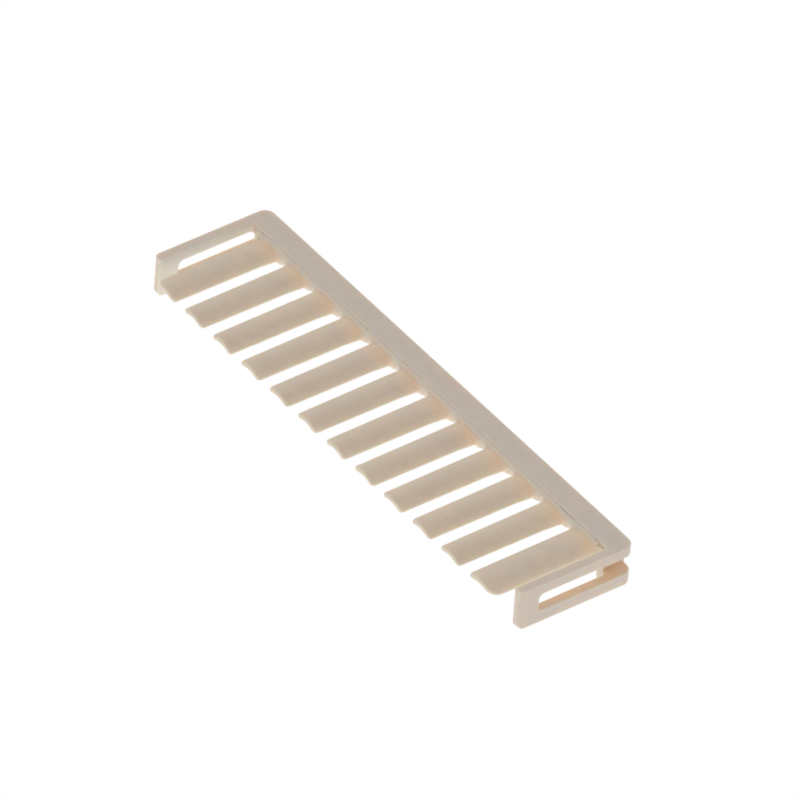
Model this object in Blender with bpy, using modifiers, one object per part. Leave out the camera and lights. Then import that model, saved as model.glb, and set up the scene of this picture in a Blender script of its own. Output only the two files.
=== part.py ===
"""Flea comb: an open frame, with two arms and a spine, around a comb of twelve broad louvre-like blades.

Metres, +Z up. X runs along the spine, the blades point to -Y, and the frame stands on Z = 0.
The origin is the centre of the bottom of the bounding box.
"""
import math

import bmesh
import bpy

MM = 0.001
OBJECT_NAME = "flea_comb"

# Driving dimensions, in millimetres.
PITCH = 8.0
BLADE_COUNT = 12
LENGTH = 103.0
DEPTH = 26.4
HEIGHT = 8.0
FIT_GAP = 0.3

WALL = 1.6
BACK_WALL = 1.0
ARM_LENGTH = 23.6
ARM_THICKNESS = 1.8
UPPER_BAR_THICKNESS = 2.05
LOWER_BAR_HEIGHT = 2.4
POST_LENGTH = 4.05
BACK_CORNER_RADIUS = 1.9
TIP_CORNER_RADIUS = 1.0

SPINE_WIDTH = 4.5
END_WALL_RECESS = 2.6

STRIP_FRONT = 5.1
STRIP_LIP = 0.3
STRIP_LIP_TOP = 7.4
STRIP_BOTTOM = 5.0

BLADE_ROOT_WIDTH = 5.5
BLADE_TIP_WIDTH = 5.25
BLADE_THICKNESS = 0.95
BLADE_FAR_EDGE_TOP = 6.4
BLADE_NEAR_EDGE_TOP = 6.1
BLADE_CREST_TOP = 7.1
BLADE_CREST_PLACE = 0.44
BLADE_SECTION_STEPS = 8
BLADE_ROW_SHIFT = -0.25
COMB_LEFT = -47.3
COMB_RIGHT = 47.8

EDGE_ROUND = 0.25
EDGE_STEPS = 2
ARC_STEPS = 6
BEVEL_ANGLE = math.radians(50)
SHARP_ANGLE = math.radians(35)

# Worked out from the above.
BACK_Y = DEPTH / 2
HALF_LENGTH = LENGTH / 2
PLATE_BOTTOM = HEIGHT - UPPER_BAR_THICKNESS
WALL_END = HALF_LENGTH - END_WALL_RECESS
STRIP_END = WALL_END - WALL - FIT_GAP

SIDES = {"left": -1, "right": 1}

IVORY = (0.56, 0.49, 0.39, 1.0)
BLADE_IVORY = (0.55, 0.46, 0.34, 1.0)
PLASTIC_ROUGHNESS = 0.42


def clear_scene():
    for obj in list(bpy.data.objects):
        bpy.data.objects.remove(obj, do_unlink=True)


def make_collection(name):
    collection = bpy.data.collections.new(name)
    bpy.context.scene.collection.children.link(collection)
    return collection


def make_plastic(name, colour):
    """Cream moulded plastic, smooth but not glossy."""
    material = bpy.data.materials.new(name + "_plastic")
    material.use_nodes = True
    shader = material.node_tree.nodes["Principled BSDF"]
    shader.inputs["Base Color"].default_value = colour
    shader.inputs["Roughness"].default_value = PLASTIC_ROUGHNESS
    shader.inputs["Metallic"].default_value = 0.0
    return material


def rounded_outline(corners):
    """Closed outline in millimetres from (x, y, radius) corners, with an arc at each radius over zero."""
    points = []
    for i, (x, y, radius) in enumerate(corners):
        if radius == 0:
            points.append((x, y))
            continue
        before = corners[i - 1]
        after = corners[(i + 1) % len(corners)]
        to_before = math.atan2(before[1] - y, before[0] - x)
        to_after = math.atan2(after[1] - y, after[0] - x)
        turn = (to_after - to_before + math.pi) % (2 * math.pi) - math.pi
        reach = radius / math.tan(abs(turn) / 2)
        middle = to_before + turn / 2
        centre_distance = radius / math.sin(abs(turn) / 2)
        centre = (x + centre_distance * math.cos(middle), y + centre_distance * math.sin(middle))
        start = (x + reach * math.cos(to_before), y + reach * math.sin(to_before))
        end = (x + reach * math.cos(to_after), y + reach * math.sin(to_after))
        first = math.atan2(start[1] - centre[1], start[0] - centre[0])
        last = math.atan2(end[1] - centre[1], end[0] - centre[0])
        sweep = (last - first + math.pi) % (2 * math.pi) - math.pi
        for step in range(ARC_STEPS + 1):
            angle = first + sweep * step / ARC_STEPS
            points.append((centre[0] + radius * math.cos(angle), centre[1] + radius * math.sin(angle)))
    return points


def add_prism(name, outline, low, high, collection, upright="Z"):
    """Solid with this flat outline in millimetres, between two places along Z, or along X if upright is X."""
    bm = bmesh.new()
    if upright == "Z":
        verts = [bm.verts.new((x * MM, y * MM, low * MM)) for x, y in outline]
        along = (0, 0, (high - low) * MM)
    else:
        verts = [bm.verts.new((low * MM, y * MM, z * MM)) for y, z in outline]
        along = ((high - low) * MM, 0, 0)
    face = bm.faces.new(verts)
    grown = bmesh.ops.extrude_face_region(bm, geom=[face])
    moved = [item for item in grown["geom"] if isinstance(item, bmesh.types.BMVert)]
    bmesh.ops.translate(bm, vec=along, verts=moved)
    bmesh.ops.recalc_face_normals(bm, faces=bm.faces)
    mesh = bpy.data.meshes.new(name)
    bm.to_mesh(mesh)
    bm.free()
    obj = bpy.data.objects.new(name, mesh)
    collection.objects.link(obj)
    return obj


def add_box(name, low, high, collection):
    """Box between two corners in millimetres."""
    bm = bmesh.new()
    bmesh.ops.create_cube(bm, size=1.0)
    size = [(high[i] - low[i]) * MM for i in range(3)]
    bmesh.ops.scale(bm, vec=size, verts=bm.verts)
    mesh = bpy.data.meshes.new(name)
    bm.to_mesh(mesh)
    bm.free()
    obj = bpy.data.objects.new(name, mesh)
    obj.location = [(high[i] + low[i]) / 2 * MM for i in range(3)]
    collection.objects.link(obj)
    return obj


def round_edges(obj, width=EDGE_ROUND):
    bevel = obj.modifiers.new("edge_round", "BEVEL")
    bevel.width = width * MM
    bevel.segments = EDGE_STEPS
    bevel.limit_method = "ANGLE"
    bevel.angle_limit = BEVEL_ANGLE


def shade(obj, colour):
    obj.data.materials.append(make_plastic(obj.name, colour))
    obj.data.shade_smooth()
    obj.data.set_sharp_from_angle(angle=SHARP_ANGLE)


def back(distance):
    """Y of a place this far in front of the spine's back face."""
    return BACK_Y - distance


def add_spine_rail(parts, helpers):
    """The top plate over the whole length, with the full-height back wall under its rear edge."""
    corners = [
        (-HALF_LENGTH, back(SPINE_WIDTH), 0),
        (HALF_LENGTH, back(SPINE_WIDTH), 0),
        (HALF_LENGTH, back(0), BACK_CORNER_RADIUS),
        (-HALF_LENGTH, back(0), BACK_CORNER_RADIUS),
    ]
    rail = add_prism("spine_rail", rounded_outline(corners), PLATE_BOTTOM, HEIGHT, parts)
    wall = add_box(
        "back_wall_helper",
        (-WALL_END, back(BACK_WALL), 0),
        (WALL_END, back(0), PLATE_BOTTOM + EDGE_ROUND),
        helpers,
    )
    wall.hide_render = True
    wall.display_type = "WIRE"
    union = rail.modifiers.new("back_wall", "BOOLEAN")
    union.operation = "UNION"
    union.solver = "EXACT"
    union.object = wall
    round_edges(rail)
    shade(rail, IVORY)


def add_end_wall(parts, side, sign):
    """The cross wall that closes one end of the space under the top plate."""
    inner, outer = sorted((sign * (WALL_END - WALL), sign * WALL_END))
    wall = add_box(
        f"end_wall_{side}",
        (inner, back(SPINE_WIDTH), 0),
        (outer, back(BACK_WALL + FIT_GAP), PLATE_BOTTOM - FIT_GAP),
        parts,
    )
    round_edges(wall)
    shade(wall, IVORY)


def add_upper_bar(parts, side, sign):
    """The arm's top bar, from the spine to the arm's tip."""
    outer = sign * HALF_LENGTH
    inner = sign * (HALF_LENGTH - ARM_THICKNESS)
    corners = [
        (outer, back(SPINE_WIDTH + FIT_GAP), 0),
        (inner, back(SPINE_WIDTH + FIT_GAP), 0),
        (inner, back(ARM_LENGTH), TIP_CORNER_RADIUS / 2),
        (outer, back(ARM_LENGTH), TIP_CORNER_RADIUS),
    ]
    bar = add_prism(f"arm_{side}_upper_bar", rounded_outline(corners), PLATE_BOTTOM, HEIGHT, parts)
    round_edges(bar)
    shade(bar, IVORY)


def add_lower_bar(parts, side, sign):
    """The arm's bottom bar, with a foot that reaches in to the end wall and a rounded back corner."""
    outer = sign * HALF_LENGTH
    inner = sign * (HALF_LENGTH - ARM_THICKNESS)
    foot = sign * (WALL_END + FIT_GAP)
    tip = back(ARM_LENGTH - POST_LENGTH - FIT_GAP)
    corners = [
        (outer, back(0), BACK_CORNER_RADIUS),
        (outer, tip, 0),
        (inner, tip, 0),
        (inner, back(SPINE_WIDTH), 0),
        (foot, back(SPINE_WIDTH), 0),
        (foot, back(0), 0),
    ]
    bar = add_prism(f"arm_{side}_lower_bar", rounded_outline(corners), 0, LOWER_BAR_HEIGHT, parts)
    round_edges(bar, EDGE_ROUND / 2)
    shade(bar, IVORY)


def add_end_post(parts, side, sign):
    """The post that joins the two bars at the arm's tip."""
    outer = sign * HALF_LENGTH
    inner = sign * (HALF_LENGTH - ARM_THICKNESS)
    corners = [
        (outer, back(ARM_LENGTH - POST_LENGTH), 0),
        (inner, back(ARM_LENGTH - POST_LENGTH), 0),
        (inner, back(ARM_LENGTH), TIP_CORNER_RADIUS / 2),
        (outer, back(ARM_LENGTH), TIP_CORNER_RADIUS),
    ]
    post = add_prism(f"arm_{side}_end_post", rounded_outline(corners), 0, PLATE_BOTTOM - FIT_GAP, parts)
    round_edges(post)
    shade(post, IVORY)


def add_comb_strip(parts):
    """The strip that carries the blades: it lies under the top plate and turns up in front of it."""
    lip_back = back(STRIP_FRONT - STRIP_LIP)
    strip_top = PLATE_BOTTOM - FIT_GAP
    outline = [
        (back(BACK_WALL + FIT_GAP), STRIP_BOTTOM),
        (back(STRIP_FRONT), STRIP_BOTTOM),
        (back(STRIP_FRONT), STRIP_LIP_TOP),
        (lip_back, STRIP_LIP_TOP),
        (lip_back, strip_top),
        (back(BACK_WALL + FIT_GAP), strip_top),
    ]
    strip = add_prism("comb_strip", outline, -STRIP_END, STRIP_END, parts, upright="X")
    shade(strip, BLADE_IVORY)


def blade_top(share):
    """Height of a blade's upper face, at a share of the way from its left edge to its right edge."""
    if share < BLADE_CREST_PLACE:
        away = (BLADE_CREST_PLACE - share) / BLADE_CREST_PLACE
        return BLADE_CREST_TOP - (BLADE_CREST_TOP - BLADE_FAR_EDGE_TOP) * away**2
    away = (share - BLADE_CREST_PLACE) / (1 - BLADE_CREST_PLACE)
    return BLADE_CREST_TOP - (BLADE_CREST_TOP - BLADE_NEAR_EDGE_TOP) * away**2


def blade_section(left, right):
    """Outline of a blade's section in millimetres: a thin plate arched across its width."""
    shares = [step / BLADE_SECTION_STEPS for step in range(BLADE_SECTION_STEPS + 1)]
    top = [(left + (right - left) * share, blade_top(share)) for share in shares]
    under = [(x, z - BLADE_THICKNESS) for x, z in reversed(top)]
    return under + top


def add_blade(parts, index):
    """One blade, which narrows a little to its tip. The outer two are wider, up to the comb's sides."""
    centre = (index - (BLADE_COUNT - 1) / 2) * PITCH + BLADE_ROW_SHIFT
    left = COMB_LEFT if index == 0 else centre - BLADE_ROOT_WIDTH / 2
    right = COMB_RIGHT if index == BLADE_COUNT - 1 else centre + BLADE_ROOT_WIDTH / 2
    taper = (BLADE_ROOT_WIDTH - BLADE_TIP_WIDTH) / 2
    bm = bmesh.new()
    ends = []
    for y, inset in ((back(STRIP_FRONT + FIT_GAP), 0), (-BACK_Y, taper)):
        section = blade_section(left + inset, right - inset)
        ends.append([bm.verts.new((x * MM, y * MM, z * MM)) for x, z in section])
    root, tip = ends
    for k in range(len(root)):
        after = (k + 1) % len(root)
        bm.faces.new((root[k], root[after], tip[after], tip[k]))
    bm.faces.new(root)
    bm.faces.new(tip)
    bmesh.ops.recalc_face_normals(bm, faces=bm.faces)
    name = f"blade_{index + 1:02d}"
    mesh = bpy.data.meshes.new(name)
    bm.to_mesh(mesh)
    bm.free()
    blade = bpy.data.objects.new(name, mesh)
    parts.objects.link(blade)
    shade(blade, BLADE_IVORY)


def main():
    clear_scene()
    parts = make_collection(OBJECT_NAME)
    helpers = make_collection("helpers")
    add_spine_rail(parts, helpers)
    for side, sign in SIDES.items():
        add_end_wall(parts, side, sign)
        add_upper_bar(parts, side, sign)
        add_lower_bar(parts, side, sign)
        add_end_post(parts, side, sign)
    add_comb_strip(parts)
    for index in range(BLADE_COUNT):
        add_blade(parts, index)


main()
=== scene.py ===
"""Looks of the flea comb, in cream plastic: a rounded frame moulding, a comb strip and twelve crowned blades.

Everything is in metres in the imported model's frame: +X along the spine, the blades point to -Y, +Z is up.
A blade's far side is its -X side, and its near side is its +X side.
"""
import math

import bmesh
import bpy
from mathutils import Matrix, Vector, noise


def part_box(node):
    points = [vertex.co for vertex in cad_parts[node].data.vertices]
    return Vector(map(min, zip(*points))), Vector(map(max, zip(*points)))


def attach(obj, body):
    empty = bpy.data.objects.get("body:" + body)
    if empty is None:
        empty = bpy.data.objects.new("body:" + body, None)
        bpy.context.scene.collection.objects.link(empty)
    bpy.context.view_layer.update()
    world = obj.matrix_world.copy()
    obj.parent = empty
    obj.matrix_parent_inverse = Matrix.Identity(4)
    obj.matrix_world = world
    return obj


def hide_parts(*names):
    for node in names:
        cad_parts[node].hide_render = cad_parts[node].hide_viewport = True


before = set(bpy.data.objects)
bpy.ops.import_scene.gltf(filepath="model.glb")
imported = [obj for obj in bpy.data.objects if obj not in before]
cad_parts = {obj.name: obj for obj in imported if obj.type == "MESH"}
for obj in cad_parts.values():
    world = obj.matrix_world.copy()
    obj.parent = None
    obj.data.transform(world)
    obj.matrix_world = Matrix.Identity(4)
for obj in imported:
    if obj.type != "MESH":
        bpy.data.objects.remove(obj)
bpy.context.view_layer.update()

MM = 0.001
BODY = "root"
SIDES = {"left": -1, "right": 1}
BLADE_COUNT = 12
CAD_GAP = 0.3 * MM

# Places of the members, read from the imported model.
RAIL_LOW, RAIL_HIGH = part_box("spine_rail")
WALL_LOW, WALL_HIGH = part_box("end_wall_right")
STRIP_LOW, STRIP_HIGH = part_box("comb_strip")
BAR_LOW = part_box("arm_right_upper_bar")[0]

HALF_LENGTH = RAIL_HIGH.x
BACK = RAIL_HIGH.y
TOP = RAIL_HIGH.z
BOTTOM = RAIL_LOW.z
SPINE_FRONT = RAIL_LOW.y
PLATE_BOTTOM = BAR_LOW.z
ARM_TIP = BAR_LOW.y
ARM_INNER = BAR_LOW.x
POST_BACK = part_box("arm_right_end_post")[1].y
LOWER_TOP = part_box("arm_right_lower_bar")[1].z
WALL_OUTER = WALL_HIGH.x
WALL_INNER = WALL_LOW.x
WALL_FRONT = WALL_LOW.y
BACK_WALL_INNER = STRIP_HIGH.y + CAD_GAP
STRIP_FRONT = STRIP_LOW.y
STRIP_BOTTOM = STRIP_LOW.z
CREST_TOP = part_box("blade_06")[1].z

# Roundings of the frame: its corners in plan, its windows' corners, all its edges, and the arms' lower tips.
BACK_CORNER = 1.9 * MM
INNER_CORNER = 0.8 * MM
TIP_CORNER = 1.0 * MM
INNER_TIP_CORNER = TIP_CORNER / 2
WINDOW_CORNER = 1.1 * MM
EDGE_ROUND = 0.45 * MM
LOWER_TIP_ROUND = 1.2 * MM

# Steps in an edge's round and in an arc, and the least angle, in degrees, of an edge that is rounded.
EDGE_STEPS = 4
ARC_STEPS = 10
ROUNDED_ANGLE = 40

# Cutters: their reach past the frame, and how near points, and faces in degrees, count as one after a cut.
REACH = 2.0 * MM
MERGE_DISTANCE = 0.002 * MM
FLAT_ANGLE = 0.5
PLANE_DISTANCE = 0.001 * MM

# How strongly a large face draws the normals beside it, so that flats stay flat next to rounds.
FLAT_WEIGHT = 80

# Blade section: thickness, drop of each side under the crest, and the crest's place as a share of the width.
BLADE_THICKNESS = 0.95 * MM
FAR_EDGE_DROP = 0.7 * MM
NEAR_EDGE_DROP = 1.0 * MM
CREST_PLACE = 0.44

# Rounds of a blade's sides: their radius, which is never over the section's height divided by EDGE_FIT.
BLADE_EDGE = 0.42 * MM
EDGE_FIT = 2.2

# Steps across a blade's section, those left out beside each side's rounds, and those in each round.
SECTION_STEPS = 16
SIDE_STEPS = 2
BLADE_ARC_STEPS = 4

# Blade root: the fillets beside it, and the stretch over which it rises to meet the strip.
NEAR_ROOT_FILLET = 1.1 * MM
FAR_ROOT_FILLET = 0.3 * MM
ROOT_RISE = 0.5 * MM
ROOT_SHOULDER = 0.35 * MM
ROOT_DROP = 0.32 * MM
ROOT_TOP = STRIP_HIGH.z - ROOT_DROP

# Blade tip: how far each side draws in towards it, the round over it, and its corners in plan.
TIP_NARROWING = 0.125 * MM
TIP_ROUND = 0.25 * MM
TIP_PLAN_CORNER = 0.65 * MM
OUTER_PLAN_CORNER = 2.0 * MM

# Places of a blade's sections: how many at its root and at its tip, and shares of the length between them.
ROOT_STATIONS = 16
LENGTH_SHARES = (0.15, 0.3, 0.45, 0.6, 0.75, 0.88)
TIP_STATIONS = 14

# Comb strip: how far under the plate's top its lip starts, the lip's slope, and the rounds of its front.
LIP_START_DROP = 0.075 * MM
LIP_SLOPE = 1.0
LIP_ROUND = 1.2 * MM
STRIP_ROUND = 0.9 * MM

# Comb strip: its gap under the top plate, its run into the walls around it, and how many sections and steps.
STRIP_UNDER_PLATE = 0.05 * MM
STRIP_INTO_WALLS = 0.1 * MM
STRIP_STATIONS = 400
STRIP_ARC_STEPS = 5

# Least angle, in degrees, of an edge that is shaded as sharp.
STRIP_SHARP_ANGLE = 35
BLADE_SHARP_ANGLE = 40

# The fine seam between the spine's front edge and the comb strip: (place along X, half length, width).
SEAM_OPENINGS = (
    (38.9 * MM, 2.9 * MM, 0.2 * MM),
    (46.6 * MM, 0.5 * MM, 0.2 * MM),
    (-19.0 * MM, 0.5 * MM, 0.12 * MM),
    (-17.2 * MM, 0.6 * MM, 0.1 * MM),
    (-46.2 * MM, 1.2 * MM, 0.14 * MM),
)

# Where the seam is closed, the comb runs this far in past the spine's front edge.
SEAM_CLOSED = 0.2 * MM

# Raggedness of the open seam: mean share of its width, swing about it, waves a millimetre, and noise place.
SEAM_MEAN = 0.75
SEAM_SWING = 0.5
SEAM_WAVES = 1.7
SEAM_NOISE_PLACE = 3.1

# Painted light and shade on the comb: painted light on the blades' near edges, painted orange shade at their
# roots, weaker on the far side, and painted light over the whole strip.
PAINTED_EDGE_LIGHT_WIDTH = 1.4 * MM
PAINTED_EDGE_LIGHT = 0.35
PAINTED_ROOT_SHADE_REACH = 2.6 * MM
PAINTED_ROOT_SHADE = 0.7
FAR_SIDE_SHARE = 0.3
PAINTED_STRIP_LIGHT = 0.45

# Plastic: noise scales of its clouding, mottling and grain, and the levels that the first two run between.
CLOUD_SCALE = 90.0
MOTTLE_SCALE = 500.0
GRAIN_SCALE = 2500.0
CLOUD_LEVELS = (0.35, 0.65)
MOTTLE_LEVELS = (0.3, 0.7)

# Range of brightness and of roughness over the mottling, and the grain's bump.
MOTTLE_BRIGHTNESS = (0.97, 1.03)
MOTTLE_ROUGHNESS = (0.4, 0.58)
GRAIN_STRENGTH = 0.3
GRAIN_HEIGHT = 0.02 * MM

# Light that spreads inside the plastic.
SUBSURFACE_WEIGHT = 0.7
SUBSURFACE_RADIUS = (1.0, 0.62, 0.34)
SUBSURFACE_SCALE = 1.4 * MM

# Painted orange shade in recesses: how far off a wall still counts, the openness where the painted shade
# starts and is full, and a painted glow there.
RECESS_DISTANCE = 2.5 * MM
RECESS_OPENNESS = (0.85, 0.3)
PAINTED_GLOW = (1.0, 0.66, 0.34, 1)
PAINTED_GLOW_STRENGTH = 0.15

# Painted orange shade on ledges: how level a face is, and the heights where the painted shade starts and is
# full, just over the lower bars.
LEDGE_FACING = (0.8, 1.0)
LEDGE_HEIGHTS = (LOWER_TOP + 0.4 * MM, LOWER_TOP + 0.1 * MM)
PAINTED_LEDGE_SHADE = 0.35

# Painted highlights on rims: the width over which an edge is felt, how far the surface turns there, and how
# open it has to be.
RIM_HIGHLIGHT_WIDTH = 0.5 * MM
RIM_TURN = (0.995, 0.8)
RIM_OPENNESS = (0.6, 0.95)
PAINTED_RIM_HIGHLIGHT = 0.8

# Painted light on the frame's inner sides: faces that look inwards from at least this share of the arms'
# place along X.
PAINTED_INNER_LIGHT = 1.0
INNER_SIDE_SHARE = 0.8

# Floor, just under the comb so that their faces don't meet.
FLOOR_SIZE = 12.0
FLOOR_DROP = 0.05 * MM

# Studio light's strength at the two ends of X.
LIGHT_FROM_LEFT = 0.88
LIGHT_FROM_RIGHT = 0.35

# Camera: its direction and roll in degrees, its distance in metres, lens and sensor in mm, and clipping.
CAMERA_AZIMUTH = 50.92
CAMERA_ELEVATION = 39.85
CAMERA_ROLL = -4.38
CAMERA_DISTANCE = 3.312
CAMERA_LENS = 900
CAMERA_SENSOR = 36
CAMERA_CLIP = (0.1, 50)

# The point that the camera looks at, and how far the view is moved right and up from it, all in millimetres.
AIM = (0, 1.2, 6.05)
AIM_RIGHT = 1.45
AIM_UP = 1.33


def rounded_outline(corners, steps=ARC_STEPS):
    """Closed outline from (u, v, radius) corners, with an arc at each corner whose radius is over zero."""
    points = []
    for i, (u, v, radius) in enumerate(corners):
        if radius == 0:
            points.append((u, v))
            continue
        before = corners[i - 1]
        after = corners[(i + 1) % len(corners)]
        to_before = math.atan2(before[1] - v, before[0] - u)
        to_after = math.atan2(after[1] - v, after[0] - u)
        turn = (to_after - to_before + math.pi) % (2 * math.pi) - math.pi
        reach = radius / math.tan(abs(turn) / 2)
        middle = to_before + turn / 2
        centre_distance = radius / math.sin(abs(turn) / 2)
        centre = (u + centre_distance * math.cos(middle), v + centre_distance * math.sin(middle))
        start = (u + reach * math.cos(to_before), v + reach * math.sin(to_before))
        end = (u + reach * math.cos(to_after), v + reach * math.sin(to_after))
        first = math.atan2(start[1] - centre[1], start[0] - centre[0])
        last = math.atan2(end[1] - centre[1], end[0] - centre[0])
        sweep = (last - first + math.pi) % (2 * math.pi) - math.pi
        for step in range(steps + 1):
            angle = first + sweep * step / steps
            points.append((centre[0] + radius * math.cos(angle), centre[1] + radius * math.sin(angle)))
    return points


def prism(name, outline, low, high, axis="Z"):
    """Solid with this flat outline between two places along Z, or along X where the outline is in Y and Z."""
    bm = bmesh.new()
    if axis == "Z":
        verts = [bm.verts.new((u, v, low)) for u, v in outline]
        along = (0, 0, high - low)
    else:
        verts = [bm.verts.new((low, u, v)) for u, v in outline]
        along = (high - low, 0, 0)
    face = bm.faces.new(verts)
    grown = bmesh.ops.extrude_face_region(bm, geom=[face])
    moved = [item for item in grown["geom"] if isinstance(item, bmesh.types.BMVert)]
    bmesh.ops.translate(bm, vec=along, verts=moved)
    bmesh.ops.recalc_face_normals(bm, faces=bm.faces)
    return as_object(name, bm)


def as_object(name, bm):
    """Turns the finished mesh data into an object in the scene."""
    mesh = bpy.data.meshes.new(name)
    bm.to_mesh(mesh)
    bm.free()
    obj = bpy.data.objects.new(name, mesh)
    bpy.context.scene.collection.objects.link(obj)
    return obj


def bake(obj):
    """Applies an object's modifiers to its mesh."""
    bpy.context.view_layer.update()
    graph = bpy.context.evaluated_depsgraph_get()
    mesh = bpy.data.meshes.new_from_object(obj.evaluated_get(graph))
    obj.modifiers.clear()
    obj.data = mesh
    return obj


def cut(base, cutters):
    """Takes the cutters away from a solid, then merges its flat faces."""
    for cutter in cutters:
        modifier = base.modifiers.new(cutter.name, "BOOLEAN")
        modifier.operation = "DIFFERENCE"
        modifier.solver = "EXACT"
        modifier.object = cutter
    bake(base)
    for cutter in cutters:
        bpy.data.objects.remove(cutter)
    bm = bmesh.new()
    bm.from_mesh(base.data)
    bmesh.ops.remove_doubles(bm, verts=bm.verts, dist=MERGE_DISTANCE)
    bmesh.ops.dissolve_limit(bm, angle_limit=math.radians(FLAT_ANGLE), verts=bm.verts, edges=bm.edges)
    bm.to_mesh(base.data)
    bm.free()
    return base


def round_edges(obj, width, steps):
    """Rounds the outside edges and fills the inside ones."""
    bevel = obj.modifiers.new("rounding", "BEVEL")
    bevel.width = width
    bevel.segments = steps
    bevel.limit_method = "ANGLE"
    bevel.angle_limit = math.radians(ROUNDED_ANGLE)
    bevel.miter_outer = "MITER_ARC"
    return bake(obj)


def round_lower_tips(obj):
    """Rounds the lower corner of each arm's tip, as seen from the side.

    Planes slice the corner finely first, and its square of points is then drawn in to a quarter disc.
    """
    radius = LOWER_TIP_ROUND
    bm = bmesh.new()
    bm.from_mesh(obj.data)
    for step in range(1, ARC_STEPS + 1):
        reach = radius * step / ARC_STEPS
        upright = ((0, ARM_TIP + reach, 0), (0, 1, 0))
        level = ((0, 0, BOTTOM + reach), (0, 0, 1))
        for point, normal in (upright, level):
            geometry = bm.verts[:] + bm.edges[:] + bm.faces[:]
            bmesh.ops.bisect_plane(bm, geom=geometry, dist=PLANE_DISTANCE, plane_co=point, plane_no=normal)
    for vert in bm.verts:
        ahead = (ARM_TIP + radius - vert.co.y) / radius
        down = (BOTTOM + radius - vert.co.z) / radius
        if ahead > 0 and down > 0:
            vert.co.y = ARM_TIP + radius - radius * ahead * math.sqrt(1 - down**2 / 2)
            vert.co.z = BOTTOM + radius - radius * down * math.sqrt(1 - ahead**2 / 2)
    bm.to_mesh(obj.data)
    bm.free()
    return obj


def even_normals(obj):
    """Shades the flats flat and the rounds smooth."""
    obj.data.shade_smooth()
    weighted = obj.modifiers.new("normals", "WEIGHTED_NORMAL")
    weighted.keep_sharp = False
    weighted.weight = FLAT_WEIGHT
    return bake(obj)


# Frame ---------------------------------------------------------------------------------------------


def frame_block():
    """The frame's U-shaped plan as a solid of its full height."""
    corners = [
        (-HALF_LENGTH, BACK, BACK_CORNER),
        (-HALF_LENGTH, ARM_TIP, TIP_CORNER),
        (-ARM_INNER, ARM_TIP, INNER_TIP_CORNER),
        (-ARM_INNER, WALL_FRONT, INNER_CORNER),
        (ARM_INNER, WALL_FRONT, INNER_CORNER),
        (ARM_INNER, ARM_TIP, INNER_TIP_CORNER),
        (HALF_LENGTH, ARM_TIP, TIP_CORNER),
        (HALF_LENGTH, BACK, BACK_CORNER),
    ]
    return prism("frame_moulding", rounded_outline(corners), BOTTOM, TOP)


def window_cutter(side, sign):
    """The arm's window, which runs out through the frame's back corner, between the arm's two bars."""
    corners = [
        (POST_BACK, LOWER_TOP, WINDOW_CORNER),
        (BACK + REACH, LOWER_TOP, 0),
        (BACK + REACH, PLATE_BOTTOM, 0),
        (POST_BACK, PLATE_BOTTOM, WINDOW_CORNER),
    ]
    inner, outer = sorted((sign * WALL_OUTER, sign * (HALF_LENGTH + REACH)))
    return prism(f"window_{side}", rounded_outline(corners), inner, outer, axis="X")


def channel_cutter():
    """The space under the spine's top plate, open to the front and below."""
    corners = [
        (-WALL_INNER, WALL_FRONT - REACH, 0),
        (WALL_INNER, WALL_FRONT - REACH, 0),
        (WALL_INNER, BACK_WALL_INNER, INNER_CORNER),
        (-WALL_INNER, BACK_WALL_INNER, INNER_CORNER),
    ]
    return prism("channel", rounded_outline(corners), BOTTOM - REACH, PLATE_BOTTOM)


def make_frame():
    """The frame as one moulding: its block, cut, rounded and shaded."""
    cutters = [channel_cutter()] + [window_cutter(side, sign) for side, sign in SIDES.items()]
    obj = round_edges(cut(frame_block(), cutters), EDGE_ROUND, EDGE_STEPS)
    return even_normals(round_lower_tips(obj))


# Comb ----------------------------------------------------------------------------------------------


def seam_y(x):
    """Where the comb's root ends: just inside the spine's front, or short of it where the seam is open."""
    opening = 0.0
    for place, half, width in SEAM_OPENINGS:
        share = 1 - ((x - place) / half) ** 2
        if share > 0:
            spot = Vector((x / MM * SEAM_WAVES, SEAM_NOISE_PLACE, 0.0))
            ragged = SEAM_MEAN + SEAM_SWING * noise.noise(spot)
            opening = max(opening, (width + SEAM_CLOSED) * math.sqrt(share) * ragged)
    return SPINE_FRONT + SEAM_CLOSED - opening


def lip_height(y):
    """Height of the sloping lip, which runs on from the rounded front edge of the top plate."""
    return TOP - LIP_START_DROP - LIP_SLOPE * (SPINE_FRONT + SEAM_CLOSED - y)


def make_strip():
    """The strip that carries the blades, with the lip that turns up in front of the spine.

    It lies just under the top plate, and runs a little way into the back wall and the end walls.
    """
    under = PLATE_BOTTOM - STRIP_UNDER_PLATE
    rear = BACK_WALL_INNER + STRIP_INTO_WALLS
    half = WALL_INNER + STRIP_INTO_WALLS
    bm = bmesh.new()
    edge_light = bm.verts.layers.float.new("painted_edge_light")
    rings = []
    for i in range(STRIP_STATIONS + 1):
        x = -half + 2 * half * i / STRIP_STATIONS
        lip_back = seam_y(x)
        lip_start = lip_height(lip_back)
        section = rounded_outline(
            [
                (rear, STRIP_BOTTOM, 0),
                (STRIP_FRONT, STRIP_BOTTOM, STRIP_ROUND),
                (STRIP_FRONT, lip_height(STRIP_FRONT), LIP_ROUND),
                (lip_back, lip_start, 0),
                (lip_back, under, 0),
                (rear, under, 0),
            ],
            STRIP_ARC_STEPS,
        )
        rings.append([bm.verts.new((x, y, z)) for y, z in section])
    skin(bm, rings)
    # Painted light over the whole strip, kept in the same layer as the blades' painted edge light.
    for vert in bm.verts:
        vert[edge_light] = PAINTED_STRIP_LIGHT
    obj = as_object("comb_strip_moulding", bm)
    obj.data.shade_smooth()
    obj.data.set_sharp_from_angle(angle=math.radians(STRIP_SHARP_ANGLE))
    return obj


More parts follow.
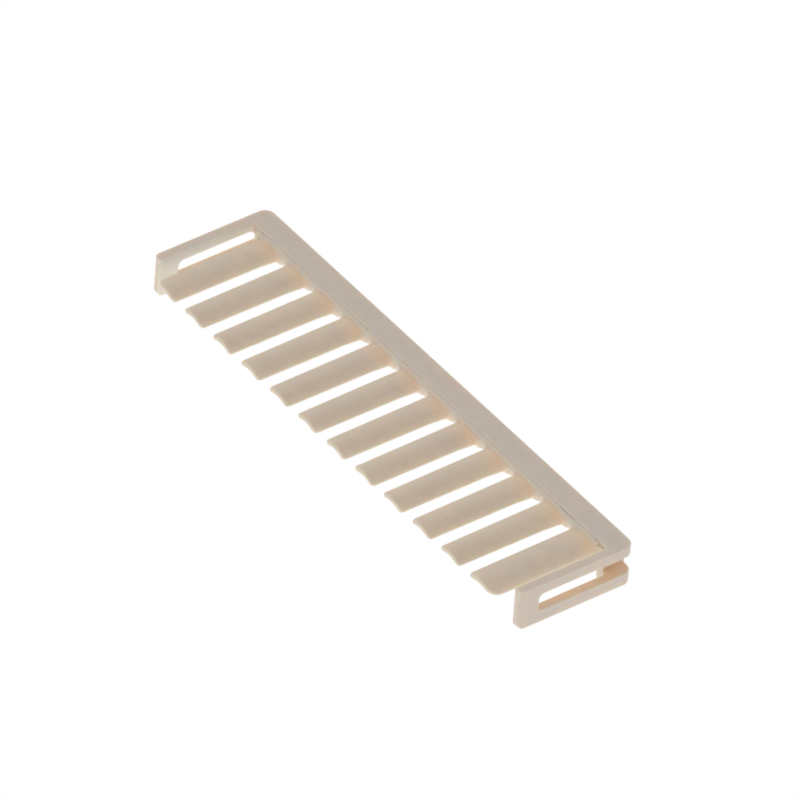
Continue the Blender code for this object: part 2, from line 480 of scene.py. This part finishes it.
def skin(bm, rings):
    """Joins equal rings into a closed body with a flat cap at each end."""
    for first, second in zip(rings, rings[1:]):
        for k in range(len(first)):
            n = (k + 1) % len(first)
            bm.faces.new((first[k], first[n], second[n], second[k]))
    bm.faces.new(rings[0][::-1])
    bm.faces.new(rings[-1])
    bmesh.ops.recalc_face_normals(bm, faces=bm.faces)


def rounding(distance, radius):
    """How far a rounded corner of this radius cuts in, at a distance from its end."""
    if distance >= radius:
        return 0.0
    return radius - math.sqrt(max(0.0, radius**2 - (radius - distance) ** 2))


def smooth_step(share):
    """Rises from 0 to 1 with no corner at either end."""
    share = min(1.0, max(0.0, share))
    return share * share * (3 - 2 * share)


def blade_top(share):
    """Height of a blade's upper face, at a share of the way from its far edge to its near edge."""
    share = min(1.0, max(0.0, share))
    if share < CREST_PLACE:
        return CREST_TOP - FAR_EDGE_DROP * ((CREST_PLACE - share) / CREST_PLACE) ** 2
    return CREST_TOP - NEAR_EDGE_DROP * ((share - CREST_PLACE) / (1 - CREST_PLACE)) ** 2


def blade_section(left, right, span, rise, inset):
    """One closed section: arched top and underside with rounded edges, between two places across the blade.

    The arch belongs to the span, and rise lifts the top from the arch, at 0, to the root's height, at 1.
    Inset thins the section from above and below, and the edge's round shrinks to fit what is left.
    """
    edge = min(BLADE_EDGE, (BLADE_THICKNESS - 2 * inset) / EDGE_FIT)
    upper = []
    lower = []
    for step in range(SECTION_STEPS + 1):
        x = left + (right - left) * step / SECTION_STEPS
        arch = blade_top((x - span[0]) / (span[1] - span[0]))
        upper.append((x, arch + (ROOT_TOP - arch) * rise - inset))
        lower.append((x, arch - BLADE_THICKNESS + inset))
    middle = slice(SIDE_STEPS, -SIDE_STEPS)
    corners = [(*upper[0], edge)] + [(x, z, 0) for x, z in upper[middle]]
    corners += [(*upper[-1], edge), (*lower[-1], edge)]
    corners += [(x, z, 0) for x, z in reversed(lower[middle])] + [(*lower[0], edge)]
    return rounded_outline(corners, BLADE_ARC_STEPS)


def blade_stations(tip):
    """Places along the blade: close together at its root and at its rounded tip."""
    rear = STRIP_FRONT + ROOT_SHOULDER
    front = STRIP_FRONT - ROOT_RISE
    places = [SPINE_FRONT]
    places += [rear + (front - rear) * k / ROOT_STATIONS for k in range(ROOT_STATIONS + 1)]
    places += [front + (tip - front) * share for share in LENGTH_SHARES]
    for k in range(1, TIP_STATIONS + 1):
        places.append(tip + OUTER_PLAN_CORNER * (1 - math.sin(math.pi / 2 * k / TIP_STATIONS)))
    return places


def make_blade(index):
    """One blade: a skin over sections from root to tip, with painted light on its near edge and painted
    orange shade at its root.
    """
    node = f"blade_{index + 1:02d}"
    low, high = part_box(node)
    tip = low.y
    left_corner = OUTER_PLAN_CORNER if index == 0 else TIP_PLAN_CORNER
    right_corner = OUTER_PLAN_CORNER if index == BLADE_COUNT - 1 else TIP_PLAN_CORNER
    bm = bmesh.new()
    edge_light = bm.verts.layers.float.new("painted_edge_light")
    root_shade = bm.verts.layers.float.new("painted_root_shade")
    rings = []
    stations = blade_stations(tip)
    for place in stations:
        ahead = STRIP_FRONT - place
        rise = smooth_step((ROOT_RISE - ahead) / (ROOT_RISE + ROOT_SHOULDER))
        far_flare = rounding(max(0.0, ahead), FAR_ROOT_FILLET)
        near_flare = rounding(max(0.0, ahead), NEAR_ROOT_FILLET)
        taper = TIP_NARROWING * max(0.0, ahead) / (STRIP_FRONT - tip)
        span = (low.x + taper, high.x - taper)
        left = span[0] - far_flare + rounding(place - tip, left_corner)
        right = span[1] + near_flare - rounding(place - tip, right_corner)
        section = blade_section(left, right, span, rise, rounding(place - tip, TIP_ROUND))
        ring = []
        for x, z in section:
            y = seam_y(x) if place == stations[0] else place
            vert = bm.verts.new((x, y, z))
            share = min(1.0, max(0.0, (x - low.x) / (high.x - low.x)))
            # Painted light towards the near edge, where light shines through the thin plastic.
            vert[edge_light] = PAINTED_EDGE_LIGHT * smooth_step((x - high.x) / PAINTED_EDGE_LIGHT_WIDTH + 1)
            # Painted orange shade near the root, weaker towards the far side and kept off the painted edge
            # light.
            nearness = 1 - smooth_step(ahead / PAINTED_ROOT_SHADE_REACH)
            sided = FAR_SIDE_SHARE + (1 - FAR_SIDE_SHARE) * share
            vert[root_shade] = PAINTED_ROOT_SHADE * nearness * sided * (1 - vert[edge_light])
            ring.append(vert)
        rings.append(ring)
    skin(bm, rings)
    obj = as_object(f"{node}_moulding", bm)
    obj.data.shade_smooth()
    obj.data.set_sharp_from_angle(angle=math.radians(BLADE_SHARP_ANGLE))
    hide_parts(node)
    return obj


# Material ------------------------------------------------------------------------------------------


def add_node(tree, kind, **inputs):
    """Adds a node, with fixed values for some of its inputs."""
    node = tree.nodes.new(kind)
    for name, value in inputs.items():
        node.inputs[name.replace("_", " ")].default_value = value
    return node


def add_map(tree, source, low, high, to_low, to_high):
    """Maps one range of a value to another, clamped."""
    node = add_node(tree, "ShaderNodeMapRange")
    settings = {"From Min": low, "From Max": high, "To Min": to_low, "To Max": to_high}
    for name, value in settings.items():
        node.inputs[name].default_value = value
    tree.links.new(source, node.inputs["Value"])
    return node.outputs["Result"]


def add_math(tree, operation, first, second):
    """Joins two values by a sum of this kind."""
    node = tree.nodes.new("ShaderNodeMath")
    node.operation = operation
    tree.links.new(first, node.inputs[0])
    tree.links.new(second, node.inputs[1])
    return node.outputs["Value"]


def add_mix(tree, factor, first, second):
    """Mixes two colours, each a fixed colour or another node's output."""
    node = add_node(tree, "ShaderNodeMix")
    node.data_type = "RGBA"
    tree.links.new(factor, node.inputs["Factor"])
    for name, value in (("A", first), ("B", second)):
        if isinstance(value, tuple):
            node.inputs[name].default_value = value
        else:
            tree.links.new(value, node.inputs[name])
    return node.outputs["Result"]


def add_noise(tree, place, scale, detail, roughness):
    """Level of a noise texture that is fixed to the object."""
    node = add_node(tree, "ShaderNodeTexNoise", Scale=scale, Detail=detail, Roughness=roughness)
    tree.links.new(place.outputs["Object"], node.inputs["Vector"])
    return node.outputs["Fac"]


def split(tree, vector):
    """The X, Y and Z of a vector."""
    node = tree.nodes.new("ShaderNodeSeparateXYZ")
    tree.links.new(vector, node.inputs["Vector"])
    return node.outputs


def painted(tree, layer):
    """Level that a mesh holds in one of its own layers, or 0 where it has no such layer."""
    node = tree.nodes.new("ShaderNodeAttribute")
    node.attribute_name = layer
    return node.outputs["Fac"]


def painted_orange_shade(tree, openness, place, facing):
    """Painted orange shade: in recesses, on the lower bars' tops and at the blades' roots."""
    depth = add_map(tree, openness, *RECESS_OPENNESS, 0.0, 1.0)
    # Painted shade on the lower bars' level tops, under the upper bars.
    level = add_map(tree, facing["Z"], *LEDGE_FACING, 0.0, PAINTED_LEDGE_SHADE)
    low = add_map(tree, place["Z"], *LEDGE_HEIGHTS, 0.0, 1.0)
    ledge = add_math(tree, "MULTIPLY", level, low)
    orange_shade = add_math(tree, "MAXIMUM", depth, ledge)
    return add_math(tree, "MAXIMUM", orange_shade, painted(tree, "painted_root_shade"))


def painted_rim_and_inner_light(tree, openness, place, facing, normal, inner_light):
    """Painted light: painted highlights on open rims, painted light where the mesh holds it, and on faces
    that look inwards.
    """
    # Painted highlight where the bevelled normal turns away, on rounded edges in the open.
    soft = add_node(tree, "ShaderNodeBevel", Radius=RIM_HIGHLIGHT_WIDTH)
    soft.samples = 6
    turned = tree.nodes.new("ShaderNodeVectorMath")
    turned.operation = "DOT_PRODUCT"
    tree.links.new(soft.outputs["Normal"], turned.inputs[0])
    tree.links.new(normal, turned.inputs[1])
    rim = add_map(tree, turned.outputs["Value"], *RIM_TURN, 0.0, 1.0)
    open_rim = add_math(tree, "MULTIPLY", rim, add_map(tree, openness, *RIM_OPENNESS, 0.0, PAINTED_RIM_HIGHLIGHT))
    # Painted light on faces that look inwards, standing in for light shining through the thin arms.
    outward = add_math(tree, "MULTIPLY", place["X"], facing["X"])
    inner_side = add_map(tree, outward, 0.0, -INNER_SIDE_SHARE * ARM_INNER, 0.0, inner_light)
    painted_light = add_math(tree, "MAXIMUM", open_rim, painted(tree, "painted_edge_light"))
    return add_math(tree, "MAXIMUM", painted_light, inner_side)


def make_plastic(name, base, cloudy, shade_tint, edge, own_recesses):
    """Cream plastic: clouded, with painted orange shade and a painted glow in recesses, painted highlights at
    rounded edges, and a fine moulded grain.

    With own_recesses, only the piece's own walls count for the painted shade, and faces that look inwards get
    painted light.
    """
    material = bpy.data.materials.new(name)
    material.use_nodes = True
    tree = material.node_tree
    link = tree.links.new
    shader = tree.nodes["Principled BSDF"]
    coordinates = tree.nodes.new("ShaderNodeTexCoord")
    normal = tree.nodes.new("ShaderNodeNewGeometry").outputs["Normal"]
    place = split(tree, coordinates.outputs["Object"])
    facing = split(tree, normal)
    hollow = add_node(tree, "ShaderNodeAmbientOcclusion", Distance=RECESS_DISTANCE)
    hollow.samples = 8
    hollow.only_local = own_recesses
    openness = hollow.outputs["AO"]

    cloud = add_noise(tree, coordinates, CLOUD_SCALE, detail=2.0, roughness=0.5)
    mottle = add_noise(tree, coordinates, MOTTLE_SCALE, detail=3.0, roughness=0.6)
    grain = add_noise(tree, coordinates, GRAIN_SCALE, detail=4.0, roughness=0.6)
    orange_shade = painted_orange_shade(tree, openness, place, facing)
    inner_light = PAINTED_INNER_LIGHT if own_recesses else 0.0
    painted_light = painted_rim_and_inner_light(tree, openness, place, facing, normal, inner_light)
    colour = add_mix(tree, add_map(tree, cloud, *CLOUD_LEVELS, 0.0, 1.0), base, cloudy)
    # Painted orange shade in recesses, on ledges and at blade roots.
    colour = add_mix(tree, orange_shade, colour, shade_tint)
    # Painted highlights and painted light, in the edge colour.
    colour = add_mix(tree, painted_light, colour, edge)
    tinted = tree.nodes.new("ShaderNodeVectorMath")
    tinted.operation = "SCALE"
    link(colour, tinted.inputs[0])
    link(add_map(tree, mottle, *MOTTLE_LEVELS, *MOTTLE_BRIGHTNESS), tinted.inputs["Scale"])
    link(tinted.outputs["Vector"], shader.inputs["Base Color"])

    shader.inputs["Subsurface Weight"].default_value = SUBSURFACE_WEIGHT
    shader.inputs["Subsurface Radius"].default_value = SUBSURFACE_RADIUS
    shader.inputs["Subsurface Scale"].default_value = SUBSURFACE_SCALE
    # Painted glow where the painted orange shade lies.
    shader.inputs["Emission Color"].default_value = PAINTED_GLOW
    link(add_map(tree, orange_shade, 0.0, 1.0, 0.0, PAINTED_GLOW_STRENGTH), shader.inputs["Emission Strength"])

    link(add_map(tree, mottle, *MOTTLE_LEVELS, *MOTTLE_ROUGHNESS), shader.inputs["Roughness"])
    bump = add_node(tree, "ShaderNodeBump", Strength=GRAIN_STRENGTH, Distance=GRAIN_HEIGHT)
    link(grain, bump.inputs["Height"])
    link(bump.outputs["Normal"], shader.inputs["Normal"])
    return material


# Stage ---------------------------------------------------------------------------------------------


def make_floor():
    """A plain white floor, which is clear from below, so that the underside can be seen too."""
    bpy.ops.mesh.primitive_plane_add(size=FLOOR_SIZE, location=(0, 0, BOTTOM - FLOOR_DROP))
    floor = bpy.context.object
    floor.name = "floor"
    material = bpy.data.materials.new("white_floor")
    material.use_nodes = True
    tree = material.node_tree
    tree.nodes.clear()
    glow = tree.nodes.new("ShaderNodeEmission")
    glow.inputs["Color"].default_value = (1.0, 1.0, 1.0, 1.0)
    glow.inputs["Strength"].default_value = 1.0
    out = tree.nodes.new("ShaderNodeOutputMaterial")
    clear = tree.nodes.new("ShaderNodeBsdfTransparent")
    geometry = tree.nodes.new("ShaderNodeNewGeometry")
    mixed = tree.nodes.new("ShaderNodeMixShader")
    tree.links.new(geometry.outputs["Backfacing"], mixed.inputs["Fac"])
    tree.links.new(glow.outputs["Emission"], mixed.inputs[1])
    tree.links.new(clear.outputs["BSDF"], mixed.inputs[2])
    tree.links.new(mixed.outputs["Shader"], out.inputs["Surface"])
    floor.data.materials.append(material)


def make_light():
    """Soft white light from all around, strongest from -X and weakest from +X."""
    world = bpy.data.worlds.new("studio")
    bpy.context.scene.world = world
    world.use_nodes = True
    tree = world.node_tree
    background = tree.nodes["Background"]
    background.inputs["Color"].default_value = (1.0, 1.0, 1.0, 1.0)
    direction = tree.nodes.new("ShaderNodeTexCoord")
    across = split(tree, direction.outputs["Generated"])["X"]
    level = add_map(tree, across, -1.0, 1.0, LIGHT_FROM_LEFT, LIGHT_FROM_RIGHT)
    tree.links.new(level, background.inputs["Strength"])


def make_camera():
    """A long lens from above the near end of the comb."""
    azimuth = math.radians(CAMERA_AZIMUTH)
    elevation = math.radians(CAMERA_ELEVATION)
    roll = math.radians(CAMERA_ROLL)
    back = Vector(
        (
            math.sin(azimuth) * math.cos(elevation),
            -math.cos(azimuth) * math.cos(elevation),
            math.sin(elevation),
        )
    )
    level = Vector((math.cos(azimuth), math.sin(azimuth), 0))
    upright = back.cross(level)
    right = level * math.cos(roll) - upright * math.sin(roll)
    up = level * math.sin(roll) + upright * math.cos(roll)
    aim = Vector(AIM) * MM + right * AIM_RIGHT * MM + up * AIM_UP * MM
    data = bpy.data.cameras.new("camera")
    data.lens = CAMERA_LENS
    data.sensor_width = CAMERA_SENSOR
    data.clip_start, data.clip_end = CAMERA_CLIP
    camera = bpy.data.objects.new("camera", data)
    bpy.context.scene.collection.objects.link(camera)
    turn = Matrix((right, up, back)).transposed().to_4x4()
    camera.matrix_world = Matrix.Translation(aim + back * CAMERA_DISTANCE) @ turn
    bpy.context.scene.camera = camera


# Assembly ------------------------------------------------------------------------------------------

make_camera()
make_light()
make_floor()
bpy.context.scene.view_settings.view_transform = "Standard"

# The third colour of each plastic is its painted orange shade, and the fourth its painted highlights and
# painted light.
frame_plastic = make_plastic(
    "frame_plastic",
    base=(0.765, 0.68, 0.59, 1),
    cloudy=(0.79, 0.69, 0.585, 1),
    shade_tint=(0.82, 0.54, 0.27, 1),
    edge=(0.84, 0.80, 0.72, 1),
    own_recesses=True,
)
comb_plastic = make_plastic(
    "comb_plastic",
    base=(0.755, 0.68, 0.565, 1),
    cloudy=(0.78, 0.70, 0.565, 1),
    shade_tint=(0.80, 0.63, 0.42, 1),
    edge=(0.93, 0.845, 0.735, 1),
    own_recesses=False,
)

SIDE_NODES = ("end_wall_{}", "arm_{}_upper_bar", "arm_{}_lower_bar", "arm_{}_end_post")
FRAME_NODES = ["spine_rail"] + [node.format(side) for side in SIDES for node in SIDE_NODES]

frame_moulding = make_frame()
frame_moulding.data.materials.clear()
frame_moulding.data.materials.append(frame_plastic)
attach(frame_moulding, BODY)
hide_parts(*FRAME_NODES)

strip = make_strip()
strip.data.materials.append(comb_plastic)
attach(strip, BODY)
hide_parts("comb_strip")

for index in range(BLADE_COUNT):
    blade = make_blade(index)
    blade.data.materials.append(comb_plastic)
    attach(blade, BODY)
